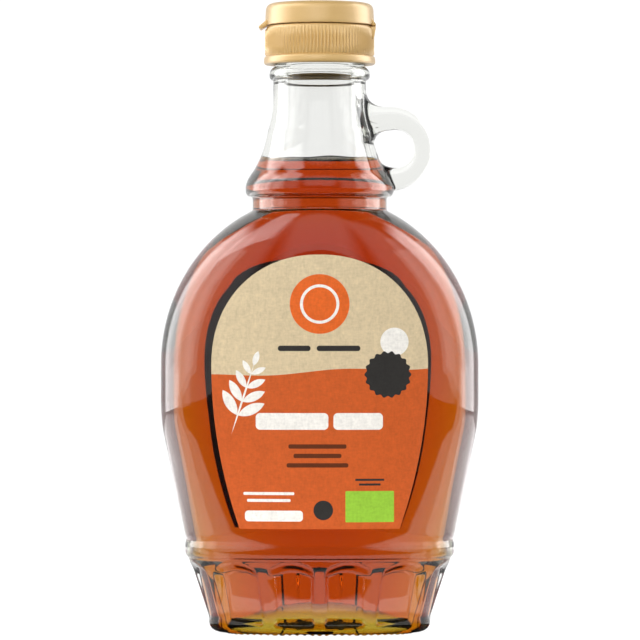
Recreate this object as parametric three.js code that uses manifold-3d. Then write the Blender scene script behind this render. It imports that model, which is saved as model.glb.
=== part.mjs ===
// A 250 ml syrup flask: a clear glass bottle with a loop handle on its neck and a fluted foot,
// filled with amber syrup, shut by a gold flip-top cap, with a paper label on its front and its back.
// Millimetres, +Z up. The origin is the middle of the foot on the table; the front label faces -Y
// and the handle is on the +X side.
import * as THREE from "three";
import { mergeVertices } from "three/addons/utils/BufferGeometryUtils.js";
import Module from "manifold-3d";

const wasm = await Module();
wasm.setup();

// Foot of the bottle
const PUSH_UP = 2.6; // height of the hollow under the foot
const STAND_INNER = 24.4; // half-widths of the flat ring that the bottle stands on
const STAND_OUTER = 27.0;
const HEEL_HALF = 31.3;
const HEEL_TOP = 5.2;
const FLUTE_FLOOR = 3.2; // heights where the flutes start and where their arches crown
const FLUTE_CROWN = 20.4;
const FLUTE_ARCH_DROP = 2.4;
const FLUTE_LOW_DEPTH = 0.5;
const FLUTE_TOP_DEPTH = 1.3;
const FLUTES = 11;
const RIB_STEPS = [0.1, 0.2, 0.5, 0.8, 0.9]; // places of the facet edges from one rib to the next
const FOOT_TOP = 21.4;
const FOOT_TOP_HALF = 36.8;
const RIDGE_HEIGHT = 24.0; // the thin ridge between foot and body
const RIDGE_HALF = 37.7;

// Body, seen from the front
const BODY_FLOOR = 26.2;
const BODY_FLOOR_HALF = 37.4;
const BELLY_LOW = 56.5; // where the straight flank starts to turn upright
const BELLY_LOW_HALF = 43.8;
const BELLY_HALF = 44.5;
const BELLY_UPRIGHT = 66.0;
const SHOULDER_CENTRE = 75.1; // the shoulder is a quarter of an ellipse about this height
const SHOULDER_RISE = 47.65;

// Body, seen from the side
const FOOT_RATIO = 0.535; // depth over width of the foot
const RIDGE_DEPTH = 20.2; // half-depths
const PANEL_LOW = 27.5; // the label panel is straight between these heights
const PANEL_LOW_DEPTH = 20.1;
const PANEL_TOP = 98.0;
const PANEL_TOP_DEPTH = 22.8;
const BODY_SQUARENESS = 2.2; // exponent of the oval; 2 is an ellipse

// Neck, which is round
const COLLAR_LOW = 118.2;
const COLLAR_TOP = 121.9;
const COLLAR_R = 18.8;
const RING_HEIGHT = 124.3;
const RING_R = 20.8;
const NECK_TOP = 149.5;
const NECK_R = 13.0;
const BEAD_LOW = 154.6;
const BEAD_TOP = 157.8;
const BEAD_R = 14.1;
const FINISH_R = 12.6; // the rim that the cap screws on
const MOUTH_HEIGHT = 168.2;
const MOUTH_R = 9.4;

// Inside
const WALL = 2.8;
const FLOOR_EDGE = 7.0; // height of the inner floor, and of its bulge over the hollow
const FLOOR_CENTRE = 8.2;
const SYRUP_LEVEL = 130.8;
const SYRUP_LEVEL_R = 14.9; // radius of the inside at that level
const SYRUP_GAP = 0.3;

// Loop handle, in the plane of the label panel's middle
const LOOP_OUTER = { x: 19.7, z: 135.5, r: 11.8 };
const LOOP_HOLE = { x: 21.2, z: 135.5, r: 5.3 };
const LOOP_THICKNESS = 7.0;
const LOOP_ROUNDING = 1.8;
const LOOP_ROOT_X = 6.0; // both roots run on into the neck, whose inside is cut out after them
const LOOP_FILLET_TOP = 152.0;

// Labels
const LABEL_GAP = 0.25;
const LABEL_PAPER = 0.3;
const LABEL_LOW = 30.0;
const LABEL_WIDEST = 75.0;
const LABEL_ARCH_SQUARENESS = 2.15;
const FRONT_LABEL = { half: 29.9, lowHalf: 22.1, rise: 30.6, shift: 0 };
const BACK_LABEL = { half: 27.1, lowHalf: 19.6, rise: 29.6, shift: -0.4 };

// Flip-top cap
const CAP_FLOOR = 159.0;
const CAP_BAND_TOP = 161.3;
const CAP_BAND_R = 15.6;
const CAP_CORE_R = 14.75;
const CAP_GRIP_R = 15.3;
const CAP_GRIPS = 96;
const CAP_GRIP_TOP = 169.2;
const CAP_BORE_R = 13.0;
const CAP_DECK = 168.6;
const CAP_DECK_TOP = 169.8;
const LID_FLOOR = 170.1;
const LID_TOP = 176.4;
const LID_R = 15.3;
const LID_CORNER = 2.2;
const LID_CROWN = 0.3;
const LIP_TIP = { x: -17.1, z: 169.5 }; // thumb lip on the -X side of the lid
const LIP_WIDTH = 8.4;
const HINGE_TIP = 15.75; // hinge lugs on the +X side
const HINGE_WIDTH = 8.8;
const HINGE_RISE = 2.2;
const HINGE_DROP = 3.5;

const ROUND_STEPS = 48; // facets round the plain turned pieces
const INNER_STEPS = 38;
const FACET = 6.5; // longest facet along a curve of an outline

const lerp = THREE.MathUtils.lerp;
const clamp01 = (value) => THREE.MathUtils.clamp(value, 0, 1);

// Solids and their joins

function toSolid(geometry) {
  const bare = geometry.clone();
  bare.deleteAttribute("normal");
  bare.deleteAttribute("uv");
  const merged = mergeVertices(bare, 1e-4);
  const corners = merged.index.array;
  const kept = [];
  for (let i = 0; i < corners.length; i += 3) {
    const [a, b, c] = corners.slice(i, i + 3);
    if (a !== b && b !== c && a !== c) kept.push(a, b, c);
  }
  const mesh = new wasm.Mesh({
    numProp: 3,
    vertProperties: merged.attributes.position.array,
    triVerts: new Uint32Array(kept),
  });
  return new wasm.Manifold(mesh);
}

function toGeometry(solid) {
  const { vertProperties, triVerts } = solid.getMesh();
  const geometry = new THREE.BufferGeometry();
  geometry.setAttribute("position", new THREE.BufferAttribute(vertProperties, 3));
  geometry.setIndex(new THREE.BufferAttribute(triVerts, 1));
  geometry.computeVertexNormals();
  return geometry;
}

// Turns a profile of (radius, height) points about the Z axis. The first facet edge is at the front, -Y.
function turned(profile, steps = ROUND_STEPS) {
  return new THREE.LatheGeometry(profile, steps).rotateX(Math.PI / 2);
}

// Extrudes a shape drawn in (x, z) along Y, evenly to both sides.
function plate(shape, thickness, bevel = 0) {
  const options = {
    depth: thickness - 2 * bevel,
    bevelEnabled: bevel > 0,
    bevelThickness: bevel,
    bevelSize: bevel,
    bevelOffset: -bevel,
    bevelSegments: 2,
    curveSegments: 10,
  };
  return new THREE.ExtrudeGeometry(shape, options)
    .translate(0, 0, bevel - thickness / 2)
    .rotateX(Math.PI / 2);
}

// Outlines of the glass

// The points of a path: a curve is cut into facets, a straight line stays whole.
function facetPoints(path) {
  const points = [path.curves[0].getPoint(0)];
  for (const curve of path.curves) {
    const steps = curve.isLineCurve ? 1 : Math.max(2, Math.ceil(curve.getLength() / FACET));
    points.push(...curve.getPoints(steps).slice(1));
  }
  return points;
}

// The reach of an outline, a list of (half-size, height) points, at one height.
function reach(outline, height) {
  const above = outline.findIndex((point) => point.y >= height);
  if (above <= 0) return outline.at(above).x;
  const low = outline[above - 1];
  const high = outline[above];
  return lerp(low.x, high.x, (height - low.y) / (high.y - low.y));
}

function footWall(path) {
  const rows = [9.5, 13.5, 16.6, 18.0, 19.2, FLUTE_CROWN, FOOT_TOP];
  for (const height of rows) {
    const share = (height - HEEL_TOP) / (FOOT_TOP - HEEL_TOP);
    path.lineTo(lerp(HEEL_HALF, FOOT_TOP_HALF, share), height);
  }
}

function neckWall(path) {
  path.lineTo(COLLAR_R, COLLAR_LOW + 0.3);
  path.lineTo(COLLAR_R, COLLAR_TOP);
  path.quadraticCurveTo(RING_R, COLLAR_TOP, RING_R, RING_HEIGHT);
  path.quadraticCurveTo(RING_R, RING_HEIGHT + 2.2, 18.8, 129.0);
  path.quadraticCurveTo(15.6, 133.9, 14.6, 140.2);
  path.quadraticCurveTo(NECK_R, 145.0, NECK_R, NECK_TOP);
  path.lineTo(NECK_R, BEAD_LOW);
  path.quadraticCurveTo(BEAD_R, BEAD_LOW, BEAD_R, (BEAD_LOW + BEAD_TOP) / 2);
  path.quadraticCurveTo(BEAD_R, BEAD_TOP, FINISH_R, BEAD_TOP + 0.6);
  path.lineTo(FINISH_R, MOUTH_HEIGHT);
}

// The front outline from the middle of the foot up to the middle of the mouth.
function frontOutline() {
  const path = new THREE.Path();
  path.moveTo(0, PUSH_UP);
  path.quadraticCurveTo(STAND_INNER * 0.8, PUSH_UP, STAND_INNER, 0);
  path.lineTo(STAND_OUTER, 0);
  path.quadraticCurveTo(HEEL_HALF, 0, HEEL_HALF, HEEL_TOP);
  footWall(path);
  path.quadraticCurveTo(RIDGE_HALF, FOOT_TOP + 0.4, RIDGE_HALF, RIDGE_HEIGHT);
  path.lineTo(BODY_FLOOR_HALF, BODY_FLOOR);
  path.lineTo(lerp(BODY_FLOOR_HALF, BELLY_LOW_HALF, 0.5), lerp(BODY_FLOOR, BELLY_LOW, 0.5));
  path.lineTo(BELLY_LOW_HALF, BELLY_LOW);
  path.quadraticCurveTo(BELLY_HALF, 60.0, BELLY_HALF, BELLY_UPRIGHT);
  const shoulderEnd = Math.asin((COLLAR_LOW - SHOULDER_CENTRE) / SHOULDER_RISE);
  path.absellipse(0, SHOULDER_CENTRE, BELLY_HALF, SHOULDER_RISE, 0, shoulderEnd, false);
  neckWall(path);
  path.lineTo(0, MOUTH_HEIGHT);
  return facetPoints(path);
}

// The side outline of the body, from the heel up to the collar.
function sideOutline() {
  const path = new THREE.Path();
  path.moveTo(HEEL_HALF * FOOT_RATIO, HEEL_TOP);
  path.lineTo(RIDGE_DEPTH - 0.9, FOOT_TOP);
  path.quadraticCurveTo(RIDGE_DEPTH, FOOT_TOP + 0.4, RIDGE_DEPTH, RIDGE_HEIGHT);
  path.lineTo(PANEL_LOW_DEPTH, PANEL_LOW);
  path.lineTo(PANEL_TOP_DEPTH, PANEL_TOP);
  path.bezierCurveTo(PANEL_TOP_DEPTH + 0.3, 106, 22.4, 112.5, COLLAR_R + 0.4, COLLAR_LOW);
  return facetPoints(path);
}

const FRONT = frontOutline();
const FRONT_WALL = FRONT.slice(FRONT.findIndex((point) => point.x === HEEL_HALF), -1);
const SIDE_WALL = sideOutline();

// Depth over width of the outside at a height: the foot keeps one ratio, and the neck is round.
function depthRatio(height) {
  if (height <= HEEL_TOP) return FOOT_RATIO;
  if (height > COLLAR_LOW) return 1;
  return reach(SIDE_WALL, height) / reach(FRONT_WALL, height);
}

function squareness(height) {
  const share = clamp01((height - PANEL_TOP) / (COLLAR_LOW - PANEL_TOP));
  return lerp(BODY_SQUARENESS, 2, share);
}

// The oval section

function ovalPoint(angle, halfWidth, halfDepth, exponent) {
  const bend = (value) => Math.sign(value) * Math.abs(value) ** (2 / exponent);
  return new THREE.Vector2(halfWidth * bend(Math.sin(angle)), -halfDepth * bend(Math.cos(angle)));
}

// Points at equal steps along the oval's edge, from the front round to +X and back.
function evenOval(halfWidth, halfDepth, exponent) {
  const samples = 240;
  const points = [];
  const lengths = [0];
  for (let i = 0; i <= samples; i++) {
    points.push(ovalPoint((2 * Math.PI * i) / samples, halfWidth, halfDepth, exponent));
    if (i > 0) lengths.push(lengths[i - 1] + points[i].distanceTo(points[i - 1]));
  }
  return (share) => {
    const wanted = share * lengths[samples];
    const above = Math.max(1, lengths.findIndex((length) => length >= wanted - 1e-9));
    const along = (wanted - lengths[above - 1]) / (lengths[above] - lengths[above - 1]);
    return points[above - 1].clone().lerp(points[above], along);
  };
}

// How far a flute cuts in at a place from 0 to 1 between two ribs.
function fluteCut(place, height) {
  const across = (place - 0.5) / 0.3;
  const arch = FLUTE_CROWN - FLUTE_ARCH_DROP * Math.min(1, across * across);
  const inWidth = clamp01((0.4 - Math.abs(place - 0.5)) / 0.1);
  const inHeight = Math.min(clamp01((arch - height) / 1.4), clamp01((height - FLUTE_FLOOR) / 1.4));
  const rise = clamp01((height - FLUTE_FLOOR) / (FLUTE_CROWN - FLUTE_FLOOR));
  return lerp(FLUTE_LOW_DEPTH, FLUTE_TOP_DEPTH, rise) * inWidth * inHeight;
}

// Moves the points of a turned shape from circles to ovals, with flutes where they are asked for.
function makeOval(geometry, ratioAt, steps, fluted) {
  const position = geometry.getAttribute("position");
  const ovals = new Map();
  for (let i = 0; i < position.count; i++) {
    const height = position.getZ(i);
    const radius = Math.hypot(position.getX(i), position.getY(i));
    if (radius < 1e-6) continue;
    const key = `${radius.toFixed(4)} ${height.toFixed(4)}`;
    if (!ovals.has(key)) {
      ovals.set(key, evenOval(radius, radius * ratioAt(height), squareness(height)));
    }
    const turn = Math.atan2(position.getX(i), -position.getY(i)) / (2 * Math.PI);
    const step = Math.round(turn * steps + steps) % steps;
    let share = step / steps;
    let cut = 0;
    if (fluted) {
      const perFlute = RIB_STEPS.length;
      const order = step % perFlute;
      const place = height > RIDGE_HEIGHT ? (order + 0.5) / perFlute : RIB_STEPS[order];
      share = (Math.floor(step / perFlute) + place) / FLUTES;
      cut = fluteCut(place, height);
    }
    const point = ovals.get(key)(share);
    point.multiplyScalar(1 - cut / point.length());
    position.setXY(i, point.x, point.y);
  }
  return geometry;
}

// The glass bottle

function outerGlass() {
  const steps = FLUTES * RIB_STEPS.length;
  return makeOval(turned(FRONT, steps), depthRatio, steps, true);
}

// The inside, drawn in by a gap, up to a level.
function insideOutline(level, gap) {
  const path = new THREE.Path();
  path.moveTo(0, FLOOR_CENTRE + gap);
  path.lineTo(16, FLOOR_EDGE + 0.6 + gap);
  path.quadraticCurveTo(29.6 - gap, FLOOR_EDGE + gap, 30.6 - gap, 12.0 + gap);
  path.lineTo(BODY_FLOOR_HALF - WALL - gap, BODY_FLOOR);
  path.lineTo(BELLY_LOW_HALF - WALL - gap, BELLY_LOW);
  path.quadraticCurveTo(BELLY_HALF - WALL - gap, 60.0, BELLY_HALF - WALL - gap, BELLY_UPRIGHT);
  const half = BELLY_HALF - WALL - gap;
  const rise = SHOULDER_RISE - WALL - gap;
  const collar = COLLAR_R - WALL - gap;
  path.absellipse(0, SHOULDER_CENTRE, half, rise, 0, Math.acos(collar / half), false);
  path.lineTo(collar, COLLAR_TOP);
  path.quadraticCurveTo(RING_R - WALL - gap, COLLAR_TOP, RING_R - WALL - gap, RING_HEIGHT);
  path.quadraticCurveTo(RING_R - WALL - gap, RING_HEIGHT + 2.2, 16.1 - gap, 129.0);
  path.lineTo(SYRUP_LEVEL_R - gap, SYRUP_LEVEL);
  if (level > SYRUP_LEVEL) {
    path.quadraticCurveTo(12.6, 134.6, 14.6 - WALL, 140.2);
    path.quadraticCurveTo(NECK_R - WALL, 145, NECK_R - WALL, NECK_TOP);
    path.lineTo(MOUTH_R, MOUTH_HEIGHT - 8);
    path.lineTo(MOUTH_R, level);
  }
  path.lineTo(0, level);
  return facetPoints(path);
}

// Depth over width of the inside: the same wall is taken off both.
function insideRatio(height) {
  const outside = Math.max(height, BODY_FLOOR);
  if (height > COLLAR_LOW) return 1;
  const width = reach(FRONT_WALL, outside);
  return (width * depthRatio(outside) - WALL) / (width - WALL);
}

function inside(level, gap) {
  const profile = insideOutline(level, gap);
  return makeOval(turned(profile, INNER_STEPS), insideRatio, INNER_STEPS, false);
}

function loopHandle() {
  const shape = new THREE.Shape();
  const { x, z, r } = LOOP_OUTER;
  shape.moveTo(LOOP_ROOT_X, LOOP_FILLET_TOP);
  shape.lineTo(NECK_R, LOOP_FILLET_TOP);
  shape.quadraticCurveTo(NECK_R + 0.4, z + r, x, z + r);
  shape.absarc(x, z, r, Math.PI / 2, -1.25, true);
  shape.lineTo(LOOP_ROOT_X, RING_HEIGHT);
  shape.closePath();
  const hole = new THREE.Path();
  hole.absarc(LOOP_HOLE.x, LOOP_HOLE.z, LOOP_HOLE.r, 0, 2 * Math.PI, false);
  shape.holes.push(hole);
  return plate(shape, LOOP_THICKNESS, LOOP_ROUNDING);
}

function glassBottle() {
  const aboveMouth = MOUTH_HEIGHT + 2;
  const outside = toSolid(outerGlass()).add(toSolid(loopHandle()));
  return toGeometry(outside.subtract(toSolid(inside(aboveMouth, 0))));
}

// The syrup fills the glass up to its level, a hair clear of the wall.
function syrup() {
  return inside(SYRUP_LEVEL, SYRUP_GAP);
}

// The labels

function labelHalf(size, height) {
  if (height < LABEL_WIDEST) {
    const below = (LABEL_WIDEST - height) / (LABEL_WIDEST - LABEL_LOW);
    return size.half - (size.half - size.lowHalf) * below * below;
  }
  const rise = (height - LABEL_WIDEST) / size.rise;
  return size.half * (1 - rise ** LABEL_ARCH_SQUARENESS) ** (1 / LABEL_ARCH_SQUARENESS);
}

function panelDepth(x, height) {
  const exponent = squareness(height);
  const halfWidth = reach(FRONT_WALL, height);
  return reach(SIDE_WALL, height) * (1 - Math.abs(x / halfWidth) ** exponent) ** (1 / exponent);
}

// A sheet of paper bent onto the panel, a thin box whose rows follow the label's outline.
// The side is -1 for the front and 1 for the back.
function label(size, side) {
  const columns = 8;
  const rows = 16;
  const lastTurn = THREE.MathUtils.degToRad(86);
  const sheet = new THREE.BoxGeometry(2, 1, 2, columns, 1, rows);
  const position = sheet.getAttribute("position");
  for (let i = 0; i < position.count; i++) {
    const up = (position.getZ(i) + 1) / 2;
    const straight = lerp(LABEL_LOW, LABEL_WIDEST, Math.min(1, 2 * up));
    const height = straight + size.rise * Math.sin(lastTurn * Math.max(0, 2 * up - 1));
    const x = position.getX(i) * labelHalf(size, height) + size.shift;
    const outer = Math.sign(position.getY(i)) === side;
    const proud = outer ? LABEL_GAP + LABEL_PAPER : LABEL_GAP;
    position.setXYZ(i, x, side * (panelDepth(x, height) + proud), height);
  }
  return sheet;
}

// The flip-top cap

// A ring of fine upright grips, as one star-shaped plate with a round hole.
function grips() {
  const star = new THREE.Shape();
  for (let i = 0; i < 2 * CAP_GRIPS; i++) {
    const radius = i % 2 ? CAP_GRIP_R : CAP_CORE_R;
    const angle = (Math.PI * i) / CAP_GRIPS;
    star[i ? "lineTo" : "moveTo"](radius * Math.cos(angle), radius * Math.sin(angle));
  }
  star.closePath();
  const hole = new THREE.Path();
  hole.absarc(0, 0, (CAP_BORE_R + CAP_CORE_R) / 2, 0, 2 * Math.PI, false);
  star.holes.push(hole);
  const height = CAP_GRIP_TOP - CAP_BAND_TOP + 0.4;
  return new THREE.ExtrudeGeometry(star, { depth: height, bevelEnabled: false, curveSegments: 20 })
    .translate(0, 0, CAP_BAND_TOP - 0.4);
}

// A wedge that stands out of the cap's side: drawn in (x, z) and as wide as asked for along Y.
function wedge(points, width) {
  return toSolid(plate(new THREE.Shape(points.map(([x, z]) => new THREE.Vector2(x, z))), width));
}

function capRing() {
  const path = new THREE.Path();
  path.moveTo(0, CAP_DECK);
  path.lineTo(CAP_BORE_R, CAP_DECK);
  path.lineTo(CAP_BORE_R, CAP_FLOOR);
  path.lineTo(CAP_BAND_R - 0.6, CAP_FLOOR);
  path.quadraticCurveTo(CAP_BAND_R, CAP_FLOOR, CAP_BAND_R, CAP_FLOOR + 0.6);
  path.lineTo(CAP_BAND_R, CAP_BAND_TOP - 0.4);
  path.lineTo(CAP_CORE_R, CAP_BAND_TOP);
  path.lineTo(CAP_CORE_R, CAP_DECK_TOP);
  path.lineTo(0, CAP_DECK_TOP);
  const core = toSolid(turned(path.getPoints(2)));
  const lugTop = CAP_DECK_TOP - 0.1;
  const lug = wedge(
    [
      [CAP_CORE_R - 1, lugTop - HINGE_DROP - 0.3],
      [CAP_GRIP_R, lugTop - HINGE_DROP],
      [HINGE_TIP, lugTop - 0.4],
      [HINGE_TIP, lugTop],
      [CAP_CORE_R - 1, lugTop],
    ],
    HINGE_WIDTH,
  );
  return toGeometry(core.add(toSolid(grips())).add(lug));
}

function capLid() {
  const path = new THREE.Path();
  path.moveTo(0, LID_FLOOR);
  path.lineTo(LID_R - 0.3, LID_FLOOR);
  path.lineTo(LID_R, LID_FLOOR + 0.3);
  path.lineTo(LID_R, LID_TOP - LID_CROWN - LID_CORNER);
  path.absarc(LID_R - LID_CORNER, LID_TOP - LID_CROWN - LID_CORNER, LID_CORNER, 0, Math.PI / 2 - 0.15);
  path.lineTo(LID_R * 0.45, LID_TOP - 0.05);
  path.lineTo(0, LID_TOP);
  const cover = toSolid(turned(path.getPoints(2)));
  const lip = wedge(
    [
      [-LID_R + 1, LID_FLOOR + 1.5],
      [-LID_R, LID_FLOOR + 1.2],
      [LIP_TIP.x, LIP_TIP.z],
      [LIP_TIP.x + 0.6, LIP_TIP.z - 0.6],
      [-LID_R, LID_FLOOR],
      [-LID_R + 1, LID_FLOOR],
    ],
    LIP_WIDTH,
  );
  const lug = wedge(
    [
      [LID_R - 1, LID_FLOOR],
      [HINGE_TIP, LID_FLOOR],
      [HINGE_TIP, LID_FLOOR + 0.3],
      [LID_R, LID_FLOOR + HINGE_RISE],
      [LID_R - 1, LID_FLOOR + HINGE_RISE + 0.4],
    ],
    HINGE_WIDTH,
  );
  return toGeometry(cover.add(lip).add(lug));
}

// Finishes and assembly

const finish = (color, roughness, metalness = 0) =>
  new THREE.MeshStandardMaterial({ color, roughness, metalness });

const clearGlass = finish(0xe4ebe4, 0.05);
clearGlass.transparent = true;
clearGlass.opacity = 0.35;
const amberSyrup = finish(0xb04a1c, 0.1);
const goldPlastic = finish(0xd2ae6c, 0.4, 0.3);
const frontPaper = finish(0xd8682a, 0.7);
const backPaper = finish(0xe6dcc4, 0.7);

function piece(name, geometry, material) {
  const mesh = new THREE.Mesh(geometry, material);
  mesh.name = name;
  return mesh;
}

const bottle = new THREE.Group();
bottle.add(piece("glass_bottle", glassBottle(), clearGlass));
bottle.add(piece("syrup", syrup(), amberSyrup));
bottle.add(piece("front_label", label(FRONT_LABEL, -1), frontPaper));
bottle.add(piece("back_label", label(BACK_LABEL, 1), backPaper));

const cap = new THREE.Group();
cap.add(piece("cap_ring", capRing(), goldPlastic));
cap.add(piece("cap_lid", capLid(), goldPlastic));
bottle.add(cap);

export default bottle;
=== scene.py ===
import bisect
import functools
import math

import bmesh
import bpy
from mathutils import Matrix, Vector


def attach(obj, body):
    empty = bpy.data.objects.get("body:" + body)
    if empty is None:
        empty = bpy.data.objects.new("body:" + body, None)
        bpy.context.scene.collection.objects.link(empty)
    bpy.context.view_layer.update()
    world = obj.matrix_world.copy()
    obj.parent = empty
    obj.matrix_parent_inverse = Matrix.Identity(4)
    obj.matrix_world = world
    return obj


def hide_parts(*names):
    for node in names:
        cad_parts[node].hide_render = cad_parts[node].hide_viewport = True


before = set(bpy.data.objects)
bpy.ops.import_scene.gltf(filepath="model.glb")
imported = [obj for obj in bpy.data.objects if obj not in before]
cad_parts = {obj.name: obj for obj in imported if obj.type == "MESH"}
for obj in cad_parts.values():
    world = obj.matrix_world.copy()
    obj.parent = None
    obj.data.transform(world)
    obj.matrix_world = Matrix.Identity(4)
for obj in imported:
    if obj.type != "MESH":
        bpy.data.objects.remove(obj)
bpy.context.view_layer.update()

# Sizes in millimetres; each finished mesh is scaled to metres. +Z is up, the front label faces -Y
# and the loop handle is on the +X side.
MM = 0.001
ON_AXIS = 0.0005

# Foot
PUSH_UP = 4.0
STAND_INNER, STAND_OUTER = 24.4, 27.0
STUDS, STUD_HEIGHT = 62, 0.4
HEEL_HALF, HEEL_TOP = 31.3, 4.8
FLUTES = 11
FLUTE_FLOOR, FLUTE_CROWN, FLUTE_ARCH_DROP = 3.2, 20.4, 2.4
FLUTE_LOW_DEPTH, FLUTE_TOP_DEPTH = 0.5, 2.1
FLUTE_START, FLUTE_START_EASE, FLUTE_CROWN_EASE = 2.8, 1.8, 2.2
RIB_SHARE, RIB_EDGE = 0.075, 0.1
FOOT_TOP, FOOT_TOP_HALF, FOOT_TOP_DEPTH = 21.4, 36.8, 19.3
RIDGE_HEIGHT, RIDGE_HALF, RIDGE_DEPTH = 24.0, 37.7, 20.2
RIDGE_PULL_LOW, RIDGE_PULL_HIGH = 21.8, 25.2
FOOT_RATIO = 0.535

# Body
BODY_FLOOR, BODY_FLOOR_HALF = 26.2, 37.4
BELLY_LOW, BELLY_LOW_HALF = 56.5, 43.8
BELLY_HALF, BELLY_PULL, BELLY_UPRIGHT = 44.5, 60.0, 66.0
SHOULDER_CENTRE, SHOULDER_RISE = 75.1, 47.65
PANEL_LOW, PANEL_LOW_DEPTH = 27.5, 20.1
PANEL_TOP, PANEL_TOP_DEPTH = 98.0, 22.8
PANEL_PULL, PANEL_PULL_DEPTH = 108.0, 23.05
PANEL_END, PANEL_END_DEPTH = 113.0, 21.6
COLLAR_PULL, COLLAR_PULL_DEPTH = 116.4, 20.6
BODY_SQUARENESS = 2.2

# Neck
COLLAR_LOW, COLLAR_TOP, COLLAR_R = 118.2, 121.9, 18.8
RING_HEIGHT, RING_PULL, RING_R = 124.3, 126.5, 20.8
NECK_FOOT, NECK_FOOT_R, NECK_FOOT_INSIDE_R = 129.0, 18.8, 16.1
NECK_MIDDLE, NECK_MIDDLE_R = 140.2, 14.6
NECK_TOP, NECK_R = 149.5, 13.0
BEAD_LOW, BEAD_TOP, BEAD_R = 154.6, 157.8, 14.1
FINISH_R, FINISH_LOW, MOUTH_HEIGHT, MOUTH_R = 12.6, 160.2, 168.2, 9.4
# The bends from the neck's foot to its top are pulled towards these places
FOOT_PULL, FOOT_PULL_R = 133.9, 15.6
FOOT_PULL_INSIDE, FOOT_PULL_INSIDE_R = 133.7, 12.8
TOP_PULL = 145.0

# Inside
WALL = 2.8
FLOOR_CENTRE, FLOOR_EDGE, FLOOR_EDGE_HALF = 9.4, 2.2, 26.0
FOOT_INSIDE_HALF, FOOT_CORNER_TOP = 30.5, 9.6
FOOT_INSIDE_TOP_HALF = 31.6
SYRUP_LEVEL, SYRUP_BITE = 130.7, 0.12
MENISCUS, MENISCUS_WIDTH, MENISCUS_PULL, MENISCUS_PULL_RISE = 1.7, 1.6, 0.25, 0.15
# Unevenness of the meniscus: height, waves round the neck and where they start
MENISCUS_WAVES = ((0.22, 3, 0.8), (0.14, 8, 0.0))

# Loop handle
LOOP_OUTER = Vector((19.7, 135.5))
LOOP_OUTER_R = 11.8
LOOP_HOLE = Vector((21.2, 135.5))
LOOP_HOLE_R = 5.3
LOOP_HALF_DEPTH = 3.5
LOOP_SQUARENESS = 4.0
LOOP_START, LOOP_END = math.radians(102), math.radians(-86)
LOOP_STEPS, ROOT_STEPS = 36, 8
ROOT_HOLLOW = 0.12
# Where the handle's roots open the neck: lowest and highest place, and half the width
UPPER_ROOT, LOWER_ROOT = (137.2, 151.3, 4.6), (123.9, 133.6, 5.0)

# Labels
LABEL_GAP, LABEL_PAPER = 0.05, 0.14
LABEL_LOW, LABEL_WIDEST, LABEL_ARCH_SQUARENESS = 30.0, 75.0, 2.15
LABEL_LAST_TURN = math.radians(88.6)
LABEL_COLUMNS, LABEL_ROWS = 60, 110
FRONT_LABEL = {"half": 29.9, "low_half": 22.1, "rise": 30.6, "shift": 0.0}
BACK_LABEL = {"half": 27.1, "low_half": 19.6, "rise": 29.6, "shift": -0.4}

# Cap
CAP_FLOOR, CAP_BAND_TOP, CAP_BAND_R = 159.0, 161.3, 15.6
CAP_CORE_R, CAP_GRIP_R, CAP_GRIPS, CAP_GRIP_TOP = 14.85, 15.3, 96, 169.2
CAP_BORE_R, CAP_DECK, CAP_DECK_TOP = 13.0, 168.6, 169.8
CAP_GRIP_EASE = 0.4
LID_FLOOR, LID_TOP, LID_R, LID_CORNER, LID_CROWN = 170.0, 176.4, 15.3, 2.2, 0.3
LID_TAPER, LID_COLUMNS = 0.2, 192
# Blocks on the cap: four corners in (x, z), and half the width
RING_LUG = ((14.0, 166.0), (15.2, 166.2), (15.75, 169.5), (14.0, 169.5)), 4.4
LID_LUG = ((14.0, 169.95), (15.75, 169.7), (15.7, 170.2), (14.0, 172.6)), 4.4
THUMB_LIP = ((-16.5, 168.8), (-14.6, 169.95), (-14.6, 171.6), (-17.1, 169.5)), 4.2
BLOCK_ROUND = 0.18

# Columns of the meshes: each flute has as many as FLUTE_COLUMNS gives for half a rib, for one edge
# of the flute and for its floor.
FLUTE_COLUMNS = (3, 6, 11)
INSIDE_COLUMNS = 180


# Outlines

class Outline:
    """A line of (half-size, height) points, drawn piece by piece."""

    def __init__(self, x, z):
        self.points = [(x, z)]

    def line(self, x, z, steps=1):
        start_x, start_z = self.points[-1]
        for i in range(1, steps + 1):
            t = i / steps
            self.points.append((start_x + (x - start_x) * t, start_z + (z - start_z) * t))

    def bend(self, pull_x, pull_z, x, z, steps):
        start_x, start_z = self.points[-1]
        for i in range(1, steps + 1):
            t = i / steps
            first, middle, last = (1 - t) ** 2, 2 * t * (1 - t), t * t
            self.points.append((
                first * start_x + middle * pull_x + last * x,
                first * start_z + middle * pull_z + last * z,
            ))

    def quarter(self, centre_z, half, rise, last_turn, steps):
        for i in range(1, steps + 1):
            turn = last_turn * i / steps
            self.points.append((half * math.cos(turn), centre_z + rise * math.sin(turn)))


def reach(points, height):
    """The half-size of an outline at a height."""
    for low, high in zip(points, points[1:]):
        if low[1] <= height <= high[1] and high[1] > low[1]:
            return low[0] + (high[0] - low[0]) * (height - low[1]) / (high[1] - low[1])
    return points[0][0] if height < points[0][1] else points[-1][0]


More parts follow.
